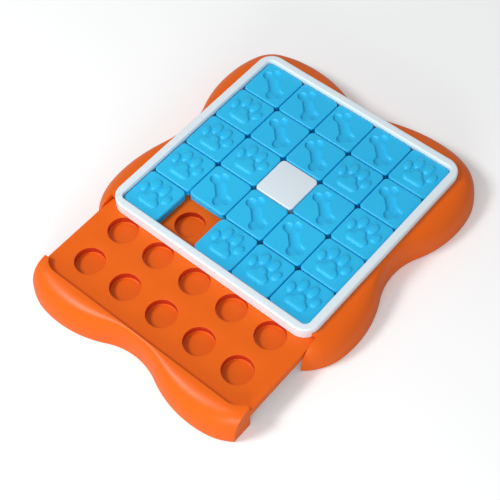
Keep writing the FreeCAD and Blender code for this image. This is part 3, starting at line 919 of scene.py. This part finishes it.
# %% [markdown]
# Tiles on the board. The layout could be 24 calls, but rows of letters show it at a
# glance: row by row from the drawer side, with p for paw, b for bone, w for the plain
# white tile, and a dot for the empty cell that the others slide into.

# %% Tiles on the board
LAYOUT = ["p.ppp", "pbbbp", "ppwbp", "pbbpb", "bbbbp"]
KINDS = {"p": "paw", "b": "bone", "w": "plain"}
tiles = []
for line, letters in enumerate(LAYOUT):
    for column, letter in enumerate(letters):
        if letter == ".":
            continue
        kind = KINDS[letter]
        node = "centre_tile" if kind == "plain" else "tile_c%d_r%d" % (column + 1, line + 1)
        tiles.append(make_tile("%s_%d_%d" % (kind, column + 1, line + 1), kind, node))
print(len(tiles), "tiles,", sum(len(tile.data.polygons) for tile in tiles), "faces")

# %% [markdown]
# Plate and feet. The plate that closes the underside and the soft foot bars are plain
# forms that the CAD model already has in full. Modelling them again would add nothing,
# so they are carried over and only get their finishes.

# %% Plate and feet
carried_over = {
    "bottom_plate": orange,
    "foot_front_left": rubber,
    "foot_front_right": rubber,
    "foot_back_left": rubber,
    "foot_back_right": rubber,
}
for name, material in carried_over.items():
    nodes[name].data.materials.clear()
    nodes[name].data.materials.append(material)
print("carried over", list(carried_over))

# %% [markdown]
# Screws. Six pan heads hold the plate. They are small and on the underside, so each is
# a short stack of rings with a tapered end, and two thin blocks cut its crossed slots.

# %% Screws
SCREW_RADIUS = 3.2 * MM
SCREW_TAPER = 0.9
SCREW_STEPS = 40
SLOT_LENGTH = 2.0 * MM
SLOT_WIDTH = 0.45 * MM
SLOT_TOP = RIM - 0.2 * MM
SCREW_LEVELS = [(RIM + 0.1 * MM, 1), (RIM - 0.3 * MM, 1), (RIM - 0.6 * MM, SCREW_TAPER)]
SCREW_PLACES = [
    (-118 * MM, -60 * MM), (118 * MM, -60 * MM),
    (-130 * MM, 60 * MM), (130 * MM, 60 * MM),
    (-60 * MM, 141 * MM), (60 * MM, 141 * MM),
]
for number, (x, y) in enumerate(SCREW_PLACES, start=1):
    centre = Vector((x, BOARD_Y + y, 0))
    bm = bmesh.new()
    add_skin(bm, [circle(centre, SCREW_RADIUS * taper, z, SCREW_STEPS) for z, taper in SCREW_LEVELS])
    screw = finish_mesh("plate_screw_%d" % number, bm, steel)
    for half_x, half_y in ((SLOT_LENGTH, SLOT_WIDTH), (SLOT_WIDTH, SLOT_LENGTH)):
        cut_with(screw, block((-half_x, -half_y, 0), (half_x, half_y, SLOT_TOP), centre))
    smooth_again(screw, steel)
    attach(screw, "board")
print(len(SCREW_PLACES), "screws")

# %% [markdown]
# Studio floor. The toy stands on a plain white floor. A floor that is really white would
# throw so much light back that the walls lose their form, so Light Path tells the camera
# apart: it sees white, and the light that bounces off is dimmer.

# %% Studio floor
scene = bpy.context.scene
scene.view_settings.view_transform = "Standard"
FLOOR_SEEN = 1.0
FLOOR_BOUNCE = 0.62
FLOOR_LIFT = 0.12
FLOOR_HALF = 4
floor_material, floor_tree, floor_shader = new_material("studio_floor")
seen = Sum(floor_tree, make_node(floor_tree, "ShaderNodeLightPath").outputs["Is Camera Ray"])
set_inputs(floor_tree, floor_shader, {
    "Base Color": seen * (FLOOR_SEEN - FLOOR_BOUNCE) + FLOOR_BOUNCE,
    "Emission Color": seen * FLOOR_LIFT,
    "Emission Strength": 1.0,
    "Roughness": 0.9,
    "Specular IOR Level": 0.1,
})
bm = bmesh.new()
bmesh.ops.create_grid(bm, x_segments=1, y_segments=1, size=FLOOR_HALF)
floor = finish_mesh("studio_floor", bm, floor_material)
print("floor", 2 * FLOOR_HALF, "m wide")

# %% [markdown]
# Light. One lamp alone gives hard, dark sides, and the sky alone gives no form at all.
# An even, faintly blue sky, a key from the front left and a low, wide fill from the
# front right together show the dome's swell and the wells' depth.

# %% Light
SKY_COLOUR = (0.97, 0.99, 1.0, 1)
SKY_STRENGTH = 0.42
world = bpy.data.worlds.new("studio_sky")
scene.world = world
world.use_nodes = True
sky = world.node_tree.nodes["Background"]
set_inputs(world.node_tree, sky, {"Color": SKY_COLOUR, "Strength": SKY_STRENGTH})


def soft_light(name, place, target, sides, watts):
    """A rectangular area light aimed at a point."""
    lamp = bpy.data.lights.new(name, "AREA")
    lamp.shape = "RECTANGLE"
    lamp.size, lamp.size_y = sides
    lamp.energy = watts
    holder = bpy.data.objects.new(name, lamp)
    holder.location = place
    holder.rotation_euler = (Vector(target) - Vector(place)).to_track_quat("-Z", "Y").to_euler()
    scene.collection.objects.link(holder)


soft_light("key_light", place=(-0.70, -1.00, 1.45), target=(0, 0, 0), sides=(0.5, 0.5), watts=17.5)
soft_light("front_fill", place=(0.75, -1.25, 0.42), target=(0, 0, 0.02), sides=(0.9, 0.4), watts=9)
print("lights", [light.name for light in bpy.data.lights])

# %% [markdown]
# Camera. Placing it by eye would never bring all edges into line. Its place, its turn
# and its long lens were solved from the board's grid and the tray's edges, and a small
# lens shift brings the toy to its place in the picture.

# %% Camera
CAMERA_PLACE = (0.4580, -0.5377, 1.0193)
AZIMUTH = math.radians(42.82)
ELEVATION = math.radians(55.62)
ROLL = math.radians(-2.89)
FOCAL_LENGTH = 86.53
SENSOR_WIDTH = 36
LENS_SHIFT = (0.042, -0.0136)
PICTURE_SIDE = 500
forward = Vector((-math.sin(AZIMUTH) * math.cos(ELEVATION), math.cos(AZIMUTH) * math.cos(ELEVATION),
                  -math.sin(ELEVATION)))
level_right = Vector((math.cos(AZIMUTH), math.sin(AZIMUTH), 0))
level_up = level_right.cross(forward)
right_axis = level_right * math.cos(ROLL) + level_up * math.sin(ROLL)
up_axis = right_axis.cross(forward)
lens = bpy.data.cameras.new("camera")
lens.sensor_width = SENSOR_WIDTH
lens.lens = FOCAL_LENGTH
lens.shift_x, lens.shift_y = LENS_SHIFT
lens.clip_end = 20
camera = bpy.data.objects.new("camera", lens)
turn = Matrix((right_axis, up_axis, -forward)).transposed()
camera.matrix_world = Matrix.Translation(CAMERA_PLACE) @ turn.to_4x4()
scene.collection.objects.link(camera)
scene.camera = camera
scene.render.resolution_x = PICTURE_SIDE
scene.render.resolution_y = PICTURE_SIDE
scene.render.resolution_percentage = 100
print("camera right axis", tuple(round(value, 4) for value in right_axis))
